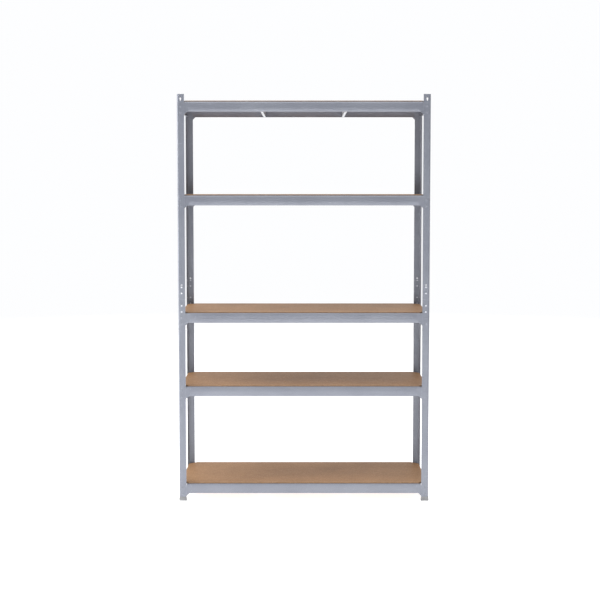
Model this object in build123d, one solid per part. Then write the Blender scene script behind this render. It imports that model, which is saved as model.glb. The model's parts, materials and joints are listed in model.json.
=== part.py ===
from build123d import *
import os

# Boltless steel shelving with five board tiers.
# Millimetres. +X is the width, +Y points to the rear, +Z is up.
# The origin is on the floor, under the centre of the unit.

# Overall size
WIDTH = 1220
DEPTH = 460
HEIGHT = 1980

# Corner posts: L-angle steel in two halves
POST_LEG = 35
POST_THICKNESS = 1.5
POST_BEND = 8
SEAM_Z = 990
SEAM_GAP = 0.6

# Teardrop slots on one grid, in the middle of each leg of a post.
# The legs that face the sides have a full column. The legs that face the front
# and rear have only the slots that hold studs, and one spare above the top tier.
SLOT_PITCH = 30
SPARE_SEAT = 65
SLOT_LINE = POST_LEG / 2
SEAT_RADIUS = 2.2
ENTRY_RADIUS = 4.2
ENTRY_RISE = 9

# Headed studs that hook into the slots
STUD_RADIUS = 2
STUD_HEAD_RADIUS = 3.8
STUD_HEAD_HEIGHT = 1.6
STUD_CLENCH_RADIUS = 3.2
STUD_CLENCH_HEIGHT = 1.2

# Tiers, from the lowest up, by the slot seat that holds the upper studs
TIER_SEATS = [2, 18, 30, 49, 64]
LIP_ABOVE_SEAT = 24
BEADED_TIER = 3

# Beams: folded sheet with a raised lip, a face, a bottom flange and a ledge for the board.
# Drops are measured down from the lip, insets back from the face.
BEAM_THICKNESS = 1
BEAM_HEIGHT = 48
BEAM_BEND = 1
BEAM_POST_GAP = 1
LIP_FRONT_INSET = 3.7
LIP_REAR_INSET = 5.4
SHOULDER_INSET = 1.6
SHOULDER_DROP = 5
SHOULDER_BEND = 8
FACE_FLAT_DROPS = [18, 30]
HEEL_DROP = 39
HEEL_INSET = 1.6
FACE_BEND = 50
HEEL_BEND = 25
FACE_BOTTOM_INSET = 4
FLANGE_REACH = 12
LEDGE_DEPTH = 3
LEDGE_REACH = 19
LEDGE_TURNDOWN = 5

# Flat tabs at the ends of a beam, flared below the face
TAB_TOP = 6
TAB_HEIGHT = 60
TAB_CORNER_GAP = 8.2
TAB_FLARE = 14
TAB_OVERLAP = 8

# Two grooves pressed into the faces of the long beams of one tier
BEAD_DROPS = [17, 27]
BEAD_RADIUS = 3
BEAD_DEPTH = 1.5
BEAD_END_GAP = 46
BEAD_WALL_START = 0.2

# Boards with clipped corners
BOARD_THICKNESS = 8
BOARD_EDGE_INSET = 7.5
BOARD_CLIP = 39
BOARD_EASE = 0.5

# Support bars: hat section, from the front beam to the rear beam
BAR_X = WIDTH / 6
BAR_THICKNESS = 1
BAR_WEB = 12
BAR_OVERALL = 27
BAR_BEND = 1
BAR_END_GAP = 5.4
BAR_NOTCH_DROP = 7

# Couplers: L-shaped splice plates inside the posts
COUPLER_LEG = 30
COUPLER_THICKNESS = 1.5
COUPLER_CLEARANCE = 0.3
COUPLER_HALF_LENGTH = 69
COUPLER_CHAMFER = 5
COUPLER_SEATS = [31, 32, 34, 35]

# Feet: L-shaped plastic caps
FOOT_FLOOR = 3
FOOT_RIM = 2.2
FOOT_RIM_HEIGHT = 10
FOOT_COLLAR = 1.1
FOOT_COLLAR_HEIGHT = 20
FOOT_CLEARANCE = 0.1

SIDE_ANGLES = {"front": 0, "right": 90, "rear": 180, "left": -90}


def sheet_section(points, thickness, bends):
    """A folded sheet, seen along its folds, from the middle line of the sheet."""
    return trace(FilletPolyline(*points, radius=bends), thickness)


def corner_copies(shape):
    """One piece at each corner, by the name of the corner."""
    front_left = Pos(-WIDTH / 2, -DEPTH / 2, 0) * shape
    rear_left = mirror(front_left, about=Plane.XZ)
    return {
        "front_left": front_left,
        "front_right": mirror(front_left, about=Plane.YZ),
        "rear_left": rear_left,
        "rear_right": mirror(rear_left, about=Plane.YZ),
    }


def on_side(side, lip_z):
    """The place of a beam whose own frame has its face at y = 0 and its lip at z = 0."""
    half = DEPTH / 2 if side in ("front", "rear") else WIDTH / 2
    return Rot(0, 0, SIDE_ANGLES[side]) * Pos(0, POST_THICKNESS - half, lip_z)


def half_length(side):
    """Half the length of the shelf along a side."""
    return WIDTH / 2 if side in ("front", "rear") else DEPTH / 2


def angle_section(leg, thickness, bend, inset):
    """An L-angle whose outer faces lie inset from the two sides of the corner."""
    middle = inset + thickness / 2
    points = [(inset + leg, middle), (middle, middle), (middle, inset + leg)]
    return sheet_section(points, thickness, bend - thickness / 2)


def post_outline(margin=0):
    """The section of a post, grown all round by a margin."""
    leg = POST_LEG + 2 * margin
    thickness = POST_THICKNESS + 2 * margin
    return angle_section(leg, thickness, POST_BEND + margin, -margin)


def slot_cutter():
    """A teardrop prism through a leg that faces along Y, with its seat at the origin."""
    circles = Circle(SEAT_RADIUS).edges() + (Pos(0, ENTRY_RISE) * Circle(ENTRY_RADIUS)).edges()
    teardrop = make_hull(circles)
    return extrude(Plane.XZ * teardrop, amount=2 * POST_THICKNESS, both=True)


def face_seats():
    """The seats of the slots in a leg that faces the front or rear."""
    seats = COUPLER_SEATS + [SPARE_SEAT]
    for upper in TIER_SEATS:
        seats = seats + [upper - 1, upper]
    return seats


def post_half(bottom, top):
    """One half of a post, with the slots that fit inside it."""
    post = Pos(0, 0, bottom) * extrude(post_outline(), amount=top - bottom)
    margin = ENTRY_RISE + ENTRY_RADIUS
    seats = range(1, int(HEIGHT / SLOT_PITCH))
    seats = [n for n in seats if bottom + SEAT_RADIUS < SLOT_PITCH * n < top - margin]
    cutter = slot_cutter()
    turned = Rot(0, 0, 90) * cutter
    face = [Pos(SLOT_LINE, 0, SLOT_PITCH * n) * cutter for n in seats if n in face_seats()]
    side = [Pos(0, SLOT_LINE, SLOT_PITCH * n) * turned for n in seats]
    return post - (face + side)


def coupler():
    """A splice plate that bridges the seam inside a post."""
    bend = POST_BEND - POST_THICKNESS + COUPLER_CLEARANCE
    section = angle_section(COUPLER_LEG, COUPLER_THICKNESS, bend, POST_THICKNESS)
    plate = extrude(section, amount=COUPLER_HALF_LENGTH, both=True)
    front_ends = plate.edges().filter_by(Axis.Y).group_by(Axis.X)[-1]
    side_ends = plate.edges().filter_by(Axis.X).group_by(Axis.Y)[-1]
    plate = Pos(0, 0, SEAM_Z) * chamfer(front_ends + side_ends, COUPLER_CHAMFER)
    shank = Rot(90, 0, 0) * Cylinder(STUD_RADIUS, 8 * POST_THICKNESS)
    turned = Rot(0, 0, 90) * shank
    seats = [SLOT_PITCH * n for n in COUPLER_SEATS]
    front = [Pos(SLOT_LINE, 0, z) * shank for z in seats]
    side = [Pos(0, SLOT_LINE, z) * turned for z in seats]
    return plate - (front + side)


def stud(grip):
    """A headed stud along Y: domed head outside y = 0, clenched end past the grip."""
    dome_radius = (STUD_HEAD_RADIUS**2 + STUD_HEAD_HEIGHT**2) / (2 * STUD_HEAD_HEIGHT)
    dome = Pos(0, 0, STUD_HEAD_HEIGHT - dome_radius) * Sphere(dome_radius)
    head = dome & Pos(0, 0, STUD_HEAD_HEIGHT / 2) * Cylinder(STUD_HEAD_RADIUS, STUD_HEAD_HEIGHT)
    shank = Pos(0, 0, -grip / 2) * Cylinder(STUD_RADIUS, grip)
    clench_middle = -grip - STUD_CLENCH_HEIGHT / 2
    clench = Pos(0, 0, clench_middle) * Cylinder(STUD_CLENCH_RADIUS, STUD_CLENCH_HEIGHT)
    return Rot(90, 0, 0) * (head + shank + clench)


def coupler_studs():
    """The studs of all four couplers."""
    front = stud(POST_THICKNESS + COUPLER_THICKNESS)
    side = Rot(0, 0, -90) * front
    studs = []
    for n in COUPLER_SEATS:
        for piece in (Pos(SLOT_LINE, 0, SLOT_PITCH * n) * front, Pos(0, SLOT_LINE, SLOT_PITCH * n) * side):
            studs += corner_copies(piece).values()
    return studs


def foot():
    """A cap that the lower end of a post stands in."""
    rim = extrude(post_outline(FOOT_RIM), amount=FOOT_RIM_HEIGHT)
    collar = extrude(post_outline(FOOT_COLLAR), amount=FOOT_COLLAR_HEIGHT)
    socket = extrude(post_outline(FOOT_CLEARANCE), amount=FOOT_COLLAR_HEIGHT)
    return rim + collar - Pos(0, 0, FOOT_FLOOR) * socket


def beam_section():
    """The folded sheet of a beam: face at y = 0, lip at z = 0, inside towards +Y."""
    half = BEAM_THICKNESS / 2
    flange_z = half - BEAM_HEIGHT
    ledge_z = -LEDGE_DEPTH - half
    upper_drop, lower_drop = FACE_FLAT_DROPS
    folds = [
        (FACE_BOTTOM_INSET, flange_z, BEAM_BEND),
        (HEEL_INSET, -HEEL_DROP, HEEL_BEND),
        (half, -lower_drop, FACE_BEND),
        (half, -upper_drop, FACE_BEND),
        (SHOULDER_INSET, -SHOULDER_DROP, SHOULDER_BEND),
        (LIP_FRONT_INSET, -half, BEAM_BEND),
        (LIP_REAR_INSET, -half, BEAM_BEND),
        (LIP_REAR_INSET, ledge_z, BEAM_BEND),
        (LEDGE_REACH, ledge_z, BEAM_BEND),
    ]
    start = (FLANGE_REACH, flange_z)
    end = (LEDGE_REACH, ledge_z - LEDGE_TURNDOWN)
    points = [start] + [(y, z) for y, z, bend in folds] + [end]
    return sheet_section(points, BEAM_THICKNESS, [bend for y, z, bend in folds])


def end_tab(span, reach):
    """The flat right-hand tab of a beam, which goes behind the post."""
    flare_x = span - TAB_FLARE
    flare_z = TAB_FLARE - TAB_HEIGHT
    outline = Polyline(
        (flare_x - TAB_OVERLAP, -TAB_TOP),
        (reach, -TAB_TOP),
        (reach, -TAB_HEIGHT),
        (span, -TAB_HEIGHT),
        (flare_x, flare_z),
        (flare_x - TAB_OVERLAP, flare_z + TAB_OVERLAP),
        close=True,
    )
    return extrude(Plane.XZ * make_face(outline), amount=-BEAM_THICKNESS)


def add_beads(beam, span):
    """Press two long stiffening beads into the face of a beam."""
    length = 2 * (span - BEAD_END_GAP)
    centre_y = BEAD_DEPTH - BEAD_RADIUS
    outer_radius = BEAD_RADIUS + BEAM_THICKNESS
    outer = Rot(0, 90, 0) * Cylinder(outer_radius, length)
    groove = Rot(0, 90, 0) * Cylinder(BEAD_RADIUS, length)
    behind_face = Pos(0, BEAD_WALL_START + outer_radius, 0) * Box(length, 2 * outer_radius, 2 * outer_radius)
    for drop in BEAD_DROPS:
        place = Pos(0, centre_y, -drop)
        beam = beam + (place * outer & Pos(0, 0, -drop) * behind_face)
        beam = beam - place * groove
    return beam


def beam(side, beaded=False):
    """A beam in its own frame, with a tab at each end."""
    span = half_length(side) - POST_LEG - BEAM_POST_GAP
    reach = half_length(side) - TAB_CORNER_GAP
    body = extrude(Plane.YZ * beam_section(), amount=span, both=True)
    tab = end_tab(span, reach)
    body = body + tab + mirror(tab, about=Plane.YZ)
    if beaded:
        body = add_beads(body, span)
    shank = Rot(90, 0, 0) * Cylinder(STUD_RADIUS, 8 * BEAM_THICKNESS)
    return body - [Pos(x, 0, z) * shank for x, z in stud_places(side)]


def stud_places(side):
    """The studs of a beam in its own frame: two at each end."""
    x = half_length(side) - SLOT_LINE
    drops = (-LIP_ABOVE_SEAT, -LIP_ABOVE_SEAT - SLOT_PITCH)
    return [(sign * x, z) for sign in (-1, 1) for z in drops]


def tier_studs(lip_z):
    """The studs of the four beams of a tier."""
    piece = stud(POST_THICKNESS + BEAM_THICKNESS)
    studs = []
    for side in SIDE_ANGLES:
        place = on_side(side, lip_z)
        studs += [place * Pos(x, -POST_THICKNESS, z) * piece for x, z in stud_places(side)]
    return studs


def board():
    """A board whose underside is at z = 0."""
    width = WIDTH - 2 * BOARD_EDGE_INSET
    depth = DEPTH - 2 * BOARD_EDGE_INSET
    outline = chamfer(Rectangle(width, depth).vertices(), BOARD_CLIP)
    panel = extrude(outline, amount=BOARD_THICKNESS)
    rims = panel.edges().group_by(Axis.Z)[0] + panel.edges().group_by(Axis.Z)[-1]
    return chamfer(rims, BOARD_EASE)


def support_bar():
    """A hat-section bar with its top flanges under the board and its ends in the beams."""
    half = BAR_THICKNESS / 2
    top = -LEDGE_DEPTH - half
    bottom = BEAM_THICKNESS - BEAM_HEIGHT + half
    inner = BAR_WEB / 2 - half
    shape = [(inner, top), (inner, bottom), (-inner, bottom), (-inner, top)]
    points = [(BAR_OVERALL / 2, top)] + shape + [(-BAR_OVERALL / 2, top)]
    face = DEPTH / 2 - POST_THICKNESS
    length = face - BAR_END_GAP
    bar = extrude(Plane.XZ * sheet_section(points, BAR_THICKNESS, BAR_BEND), amount=length, both=True)
    notch_depth = LEDGE_REACH + 2
    notch_height = LEDGE_DEPTH + LEDGE_TURNDOWN + BAR_NOTCH_DROP
    notch = Box(BAR_OVERALL + 2, 2 * notch_depth, 2 * notch_height)
    return bar - [Pos(0, face, 0) * notch, Pos(0, -face, 0) * notch]


def save(name, shape):
    """Write one node. A list of shapes becomes a group of separate solids."""
    if isinstance(shape, list):
        shape = Compound([solid for piece in shape for solid in piece.solids()])
    export_step(shape, f"parts/{name}.step")


def save_posts():
    lower = corner_copies(post_half(FOOT_FLOOR, SEAM_Z - SEAM_GAP / 2))
    upper = corner_copies(post_half(SEAM_Z + SEAM_GAP / 2, HEIGHT))
    splices = corner_copies(coupler())
    feet = corner_copies(foot())
    for corner in lower:
        save(f"post_lower_{corner}", lower[corner])
        save(f"post_upper_{corner}", upper[corner])
        save(f"coupler_{corner}", splices[corner])
        save(f"foot_{corner}", feet[corner])
    save("coupler_studs", coupler_studs())


def save_tiers():
    plain = {side: beam(side) for side in SIDE_ANGLES}
    panel = board()
    bar = support_bar()
    for tier, seat in enumerate(TIER_SEATS, start=1):
        lip_z = SLOT_PITCH * seat + LIP_ABOVE_SEAT
        for side in SIDE_ANGLES:
            beaded = tier == BEADED_TIER and side in ("front", "rear")
            piece = beam(side, beaded=True) if beaded else plain[side]
            save(f"tier_{tier}_beam_{side}", on_side(side, lip_z) * piece)
        save(f"tier_{tier}_beam_studs", tier_studs(lip_z))
        save(f"tier_{tier}_board", Pos(0, 0, lip_z - LEDGE_DEPTH) * panel)
        save(f"tier_{tier}_support_bar_left", Pos(-BAR_X, 0, lip_z) * bar)
        save(f"tier_{tier}_support_bar_right", Pos(BAR_X, 0, lip_z) * bar)


os.makedirs("parts", exist_ok=True)
save_posts()
save_tiers()
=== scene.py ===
import bpy
import json
import math
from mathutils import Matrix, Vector


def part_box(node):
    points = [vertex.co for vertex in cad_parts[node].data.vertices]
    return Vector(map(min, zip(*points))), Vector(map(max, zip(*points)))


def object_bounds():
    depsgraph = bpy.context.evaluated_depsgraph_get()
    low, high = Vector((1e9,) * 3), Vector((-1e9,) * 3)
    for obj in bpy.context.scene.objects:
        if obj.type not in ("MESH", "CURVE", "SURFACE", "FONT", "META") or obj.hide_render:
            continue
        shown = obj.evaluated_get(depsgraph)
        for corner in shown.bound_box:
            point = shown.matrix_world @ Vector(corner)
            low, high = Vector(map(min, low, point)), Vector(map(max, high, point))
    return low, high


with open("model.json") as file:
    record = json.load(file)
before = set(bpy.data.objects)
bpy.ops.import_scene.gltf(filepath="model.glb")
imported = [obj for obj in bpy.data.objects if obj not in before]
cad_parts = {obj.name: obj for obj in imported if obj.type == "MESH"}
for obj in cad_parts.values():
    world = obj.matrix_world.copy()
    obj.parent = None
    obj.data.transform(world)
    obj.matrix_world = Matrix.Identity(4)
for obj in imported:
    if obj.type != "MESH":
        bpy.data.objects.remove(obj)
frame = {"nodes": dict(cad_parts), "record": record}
cad_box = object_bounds()
LOW, HIGH = cad_box
CENTRE = (LOW + HIGH) / 2

MM = 0.001


# ---------------------------------------------------------------- node helpers

class Shader:
    """A material's node tree, with short ways to add and join its nodes."""

    def __init__(self, name):
        self.material = bpy.data.materials.new(name)
        self.material.use_nodes = True
        self.tree = self.material.node_tree
        self.surface = self.tree.nodes["Principled BSDF"]
        self.coordinates = self.add("ShaderNodeTexCoord").outputs["Object"]

    def add(self, kind, **settings):
        node = self.tree.nodes.new(kind)
        for key, value in settings.items():
            setattr(node, key, value)
        return node

    def join(self, source, target):
        self.tree.links.new(source, target)

    def fill(self, socket, value):
        """Join a socket to a node's output, or set a plain value on it."""
        if isinstance(value, bpy.types.NodeSocket):
            self.join(value, socket)
        else:
            socket.default_value = value

    def stretched(self, scale):
        """Object coordinates scaled differently along X, Y and Z."""
        node = self.add("ShaderNodeMapping")
        node.inputs["Scale"].default_value = scale
        self.join(self.coordinates, node.inputs["Vector"])
        return node.outputs["Vector"]

    def noise(self, scale, detail=3, roughness=0.5, vector=None, distortion=0):
        node = self.add("ShaderNodeTexNoise")
        self.join(vector or self.coordinates, node.inputs["Vector"])
        node.inputs["Scale"].default_value = scale
        node.inputs["Detail"].default_value = detail
        node.inputs["Roughness"].default_value = roughness
        node.inputs["Distortion"].default_value = distortion
        return node.outputs["Fac"]

    def cells(self, scale, output):
        node = self.add("ShaderNodeTexVoronoi")
        self.join(self.coordinates, node.inputs["Vector"])
        node.inputs["Scale"].default_value = scale
        return node.outputs[output]

    def map(self, value, low, high, to_low=0, to_high=1):
        """Stretch a value from one range to another, held at the ends."""
        node = self.add("ShaderNodeMapRange")
        for socket, number in zip(node.inputs[1:5], (low, high, to_low, to_high)):
            socket.default_value = number
        self.join(value, node.inputs["Value"])
        return node.outputs["Result"]

    def math(self, operation, first, second=0):
        node = self.add("ShaderNodeMath", operation=operation)
        self.fill(node.inputs[0], first)
        self.fill(node.inputs[1], second)
        return node.outputs["Value"]

    def mix(self, factor, first, second):
        """Blend two colours."""
        node = self.add("ShaderNodeMix", data_type="RGBA")
        self.fill(node.inputs[0], factor)
        self.fill(node.inputs[6], first)
        self.fill(node.inputs[7], second)
        return node.outputs[2]

    def edges(self, radius):
        """1 on a sharp or tightly bent edge, 0 on a flat."""
        bevel = self.add("ShaderNodeBevel", samples=4)
        bevel.inputs["Radius"].default_value = radius
        geometry = self.add("ShaderNodeNewGeometry")
        dot = self.add("ShaderNodeVectorMath", operation="DOT_PRODUCT")
        self.join(bevel.outputs["Normal"], dot.inputs[0])
        self.join(geometry.outputs["Normal"], dot.inputs[1])
        return self.map(dot.outputs["Value"], 0.99, 0.80)

    def facing_up(self):
        """The share of the surface's normal that points up or down, 0 to 1."""
        geometry = self.add("ShaderNodeNewGeometry")
        split = self.add("ShaderNodeSeparateXYZ")
        self.join(geometry.outputs["Normal"], split.inputs[0])
        return self.math("ABSOLUTE", split.outputs["Z"])

    def bump(self, height, distance, strength, below=None):
        node = self.add("ShaderNodeBump")
        node.inputs["Strength"].default_value = strength
        node.inputs["Distance"].default_value = distance
        self.join(height, node.inputs["Height"])
        if below is not None:
            self.join(below, node.inputs["Normal"])
        return node.outputs["Normal"]

    def finish(self, color, roughness, normal, **plain):
        self.join(color, self.surface.inputs["Base Color"])
        self.join(roughness, self.surface.inputs["Roughness"])
        self.join(normal, self.surface.inputs["Normal"])
        for name, value in plain.items():
            self.surface.inputs[name.replace("_", " ")].default_value = value
        return self.material


def rgb(red, green, blue):
    return (red, green, blue, 1)


# ------------------------------------------------------------------- materials

def coated_steel():
    """Satin blue-grey powder coat: fine orange peel, faint drift in tone, scuffs and worn edges."""
    s = Shader("coated_steel")
    drift = s.noise(5, detail=4)
    color = s.mix(s.map(drift, 0.3, 0.7), rgb(0.143, 0.152, 0.183), rgb(0.169, 0.180, 0.211))
    speck = s.noise(1400, detail=2)
    color = s.mix(s.map(speck, 0.55, 0.75, 0, 0.35), color, rgb(0.34, 0.36, 0.40))
    scuff_lines = s.noise(60, detail=5, roughness=0.7, vector=s.stretched((0.35, 0.35, 2.5)))
    scuffs = s.math("MULTIPLY", s.map(scuff_lines, 0.60, 0.78), s.map(s.noise(3), 0.45, 0.65))
    color = s.mix(s.math("MULTIPLY", scuffs, 0.45), color, rgb(0.40, 0.42, 0.46))
    patchy = s.map(s.noise(70, detail=4), 0.40, 0.62, 0.25, 0.8)
    wear = s.math("MULTIPLY", s.edges(1.2 * MM), patchy)
    color = s.mix(wear, color, rgb(0.42, 0.44, 0.48))
    roughness = s.map(s.noise(18, detail=5), 0.3, 0.7, 0.32, 0.44)
    peel = s.bump(s.noise(520, detail=2), 0.25 * MM, 0.30)
    normal = s.bump(s.noise(9, detail=2), 1.5 * MM, 0.10, below=peel)
    return s.finish(color, roughness, normal, Metallic=0.35, Coat_Weight=0.25, Coat_Roughness=0.22)


def zinc_steel():
    """Bright zinc plating with a fine crystalline spangle and rolling lines."""
    s = Shader("zinc_steel")
    spangle = s.cells(260, "Color")
    grey = s.add("ShaderNodeRGBToBW")
    s.join(spangle, grey.inputs[0])
    color = s.mix(s.map(grey.outputs[0], 0.2, 0.8), rgb(0.52, 0.54, 0.57), rgb(0.66, 0.68, 0.72))
    stain = s.map(s.noise(26, detail=5, roughness=0.65), 0.52, 0.75, 0, 0.4)
    color = s.mix(stain, color, rgb(0.44, 0.455, 0.47))
    roughness = s.map(grey.outputs[0], 0.1, 0.9, 0.28, 0.46)
    lines = s.noise(240, detail=3, vector=s.stretched((1, 0.04, 1)))
    rolled = s.bump(lines, 0.06 * MM, 0.35)
    normal = s.bump(s.noise(700, detail=2), 0.08 * MM, 0.25, below=rolled)
    return s.finish(color, roughness, normal, Metallic=0.85)


def fibre_board():
    """Pressed wood-fibre board: matted fibres, soft clouding, and cut edges painted dark, partly in their
    own darker colour and partly as painted shade.
    """
    s = Shader("fibre_board")
    cloud = s.noise(4.5, detail=5, roughness=0.6)
    pale, dark = rgb(0.345, 0.193, 0.090), rgb(0.270, 0.146, 0.064)
    color = s.mix(s.map(cloud, 0.32, 0.68), dark, pale)
    along = s.noise(150, detail=5, roughness=0.7, vector=s.stretched((0.35, 1.6, 1)), distortion=0.6)
    across = s.noise(170, detail=5, roughness=0.7, vector=s.stretched((1.5, 0.4, 1)), distortion=0.6)
    matted = s.math("MULTIPLY", along, across)
    color = s.mix(s.map(matted, 0.30, 0.16, 0, 0.55), color, rgb(0.200, 0.108, 0.056))
    color = s.mix(s.map(matted, 0.30, 0.40, 0, 0.45), color, rgb(0.48, 0.30, 0.18))
    chips = s.map(s.cells(420, "Distance"), 0.12, 0.02, 0, 0.5)
    flecks = s.math("MULTIPLY", chips, s.map(s.noise(90), 0.5, 0.7))
    color = s.mix(flecks, color, rgb(0.20, 0.115, 0.062))
    # side faces darkened: partly the board's own darker cut-edge colour, partly painted shade for the shadow
    # in the gap above the beam lip
    cut_edge_and_shade = s.map(s.facing_up(), 0.75, 0.35)
    layers = s.noise(60, detail=5, vector=s.stretched((1, 1, 14)))
    cut_edge_and_shade_color = s.mix(s.map(layers, 0.35, 0.65), rgb(0.085, 0.053, 0.034), rgb(0.145, 0.097, 0.063))
    color = s.mix(cut_edge_and_shade, color, cut_edge_and_shade_color)
    roughness = s.map(matted, 0.15, 0.38, 0.62, 0.46)
    fibres = s.bump(matted, 0.35 * MM, 0.35)
    normal = s.bump(s.noise(1200, detail=2), 0.12 * MM, 0.3, below=fibres)
    return s.finish(color, roughness, normal, Specular_IOR_Level=0.25)


def foot_plastic():
    """Moulded grey plastic with a fine spark-eroded grain."""
    s = Shader("foot_plastic")
    color = s.mix(s.map(s.noise(45, detail=4), 0.3, 0.7), rgb(0.125, 0.126, 0.131), rgb(0.160, 0.161, 0.167))
    dust = s.map(s.noise(160, detail=4), 0.5, 0.75, 0, 0.3)
    color = s.mix(dust, color, rgb(0.27, 0.265, 0.255))
    color = s.mix(s.math("MULTIPLY", s.edges(0.8 * MM), 0.4), color, rgb(0.25, 0.25, 0.255))
    roughness = s.map(s.noise(80), 0.3, 0.7, 0.50, 0.66)
    grain = s.bump(s.noise(2200, detail=2), 0.10 * MM, 0.6)
    return s.finish(color, roughness, grain)


MATERIALS = {
    "coated_steel": coated_steel,
    "zinc_steel": zinc_steel,
    "board": fibre_board,
    "foot_plastic": foot_plastic,
}


def paint_nodes():
    """Give each CAD node the material of its slot."""
    made = {slot: build() for slot, build in MATERIALS.items()}
    for part in frame["record"]["subparts"]:
        node = frame["nodes"][part["node"]]
        node.data.materials.clear()
        node.data.materials.append(made[part["material_slot"]])


# ----------------------------------------------------------------- surroundings

FRONT_BRIGHTNESS = 0.12
REAR_BRIGHTNESS = 1.0
TOP_BRIGHTNESS = 1.05
FLOOR_RADIUS = 9
FLOOR_SOLID_RADIUS = 2.2
FLOOR_GLOW = 0.8
FLOOR_ROUGHNESS = 0.85
FLOOR_SIDES = 96
FLOOR_SINK = 0.2 * MM

# the height and depth of the view direction between which the world goes from dim to bright
DEPTH_RAMP = (-0.5, 0.4)
HEIGHT_RAMP = (0.1, 0.6)


def floor_material():
    """Pale studio floor that fades out far from the object."""
    s = Shader("studio_floor")
    color = s.mix(s.map(s.noise(0.8), 0.3, 0.7), rgb(0.80, 0.80, 0.80), rgb(0.83, 0.83, 0.83))
    s.join(color, s.surface.inputs["Base Color"])
    s.surface.inputs["Roughness"].default_value = FLOOR_ROUGHNESS
    s.surface.inputs["Emission Color"].default_value = rgb(1, 1, 1)
    s.surface.inputs["Emission Strength"].default_value = FLOOR_GLOW
    length = s.add("ShaderNodeVectorMath", operation="LENGTH")
    s.join(s.coordinates, length.inputs[0])
    fade = s.map(length.outputs["Value"], FLOOR_SOLID_RADIUS, FLOOR_RADIUS, 1, 0)
    s.join(fade, s.surface.inputs["Alpha"])
    return s.material


def make_floor():
    bpy.ops.mesh.primitive_circle_add(vertices=FLOOR_SIDES, radius=FLOOR_RADIUS, fill_type="NGON")
    floor = bpy.context.object
    floor.name = "studio_floor"
    floor.location.z = LOW.z - FLOOR_SINK
    floor.data.materials.append(floor_material())


def make_world():
    """A white backdrop all round, with less light from low down in front of the object."""
    world = bpy.data.worlds.new("studio")
    world.use_nodes = True
    tree = world.node_tree
    direction = tree.nodes.new("ShaderNodeTexCoord")
    split = tree.nodes.new("ShaderNodeSeparateXYZ")
    tree.links.new(direction.outputs["Generated"], split.inputs[0])
    strength = tree.nodes.new("ShaderNodeMath")
    strength.operation = "MAXIMUM"
    ramps = (
        ("Y", *DEPTH_RAMP, FRONT_BRIGHTNESS, REAR_BRIGHTNESS),
        ("Z", *HEIGHT_RAMP, FRONT_BRIGHTNESS, TOP_BRIGHTNESS),
    )
    for socket, (axis, *numbers) in zip(strength.inputs, ramps):
        ramp = tree.nodes.new("ShaderNodeMapRange")
        for target, number in zip(ramp.inputs[1:5], numbers):
            target.default_value = number
        tree.links.new(split.outputs[axis], ramp.inputs["Value"])
        tree.links.new(ramp.outputs["Result"], socket)
    backdrop = tree.nodes.new("ShaderNodeMath")
    backdrop.operation = "MAXIMUM"
    path = tree.nodes.new("ShaderNodeLightPath")
    tree.links.new(strength.outputs["Value"], backdrop.inputs[0])
    tree.links.new(path.outputs["Is Camera Ray"], backdrop.inputs[1])
    tree.links.new(backdrop.outputs["Value"], tree.nodes["Background"].inputs["Strength"])
    tree.nodes["Background"].inputs["Color"].default_value = rgb(0.985, 0.99, 1.0)
    bpy.context.scene.world = world


OVERHEAD_POWER = 60
LEFT_SIDE_POWER = 62
LOW_FRONT_POWER = 360
MIDDLE = (0, 0, 1)
UPPER_TIERS = (0, 0.2, 1.6)


def area_light(name, place, target, width, height, power, in_gloss=True):
    data = bpy.data.lights.new(name, "AREA")
    data.shape = "RECTANGLE"
    data.size = width
    data.size_y = height
    data.energy = power
    light = bpy.data.objects.new(name, data)
    light.location = place
    light.rotation_euler = (Vector(target) - Vector(place)).to_track_quat("-Z", "Y").to_euler()
    light.visible_camera = False
    light.visible_glossy = in_gloss
    bpy.context.scene.collection.objects.link(light)


def make_lights():
    area_light("overhead", (-0.6, -1.4, 4.4), MIDDLE, 4.0, 2.4, OVERHEAD_POWER)
    area_light("left_side", (-2.4, -0.4, 1.4), MIDDLE, 1.2, 2.6, LEFT_SIDE_POWER)
    area_light("low_front", (0, -6.0, 0.5), UPPER_TIERS, 3.2, 1.0, LOW_FRONT_POWER, in_gloss=False)


# ----------------------------------------------------------------------- camera

CAMERA_DISTANCE = 5.78
CAMERA_HEIGHT = 1.521
CAMERA_PITCH = 3.83
CAMERA_LENS = 71.8
SENSOR_WIDTH = 36
SHIFT_X = -0.0064
SHIFT_Y = -0.05


def make_camera():
    """A camera in front of the shelving, a little below the top tier."""
    data = bpy.data.cameras.new("camera")
    data.lens = CAMERA_LENS
    data.sensor_width = SENSOR_WIDTH
    data.shift_x = SHIFT_X
    data.shift_y = SHIFT_Y
    camera = bpy.data.objects.new("camera", data)
    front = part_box("post_lower_front_left")[0].y
    camera.location = (CENTRE.x, front - CAMERA_DISTANCE, LOW.z + CAMERA_HEIGHT)
    camera.rotation_euler = (math.radians(90 - CAMERA_PITCH), 0, 0)
    bpy.context.scene.collection.objects.link(camera)
    bpy.context.scene.camera = camera


make_camera()
paint_nodes()
make_floor()
make_world()
make_lights()
bpy.context.scene.view_settings.view_transform = "Standard"
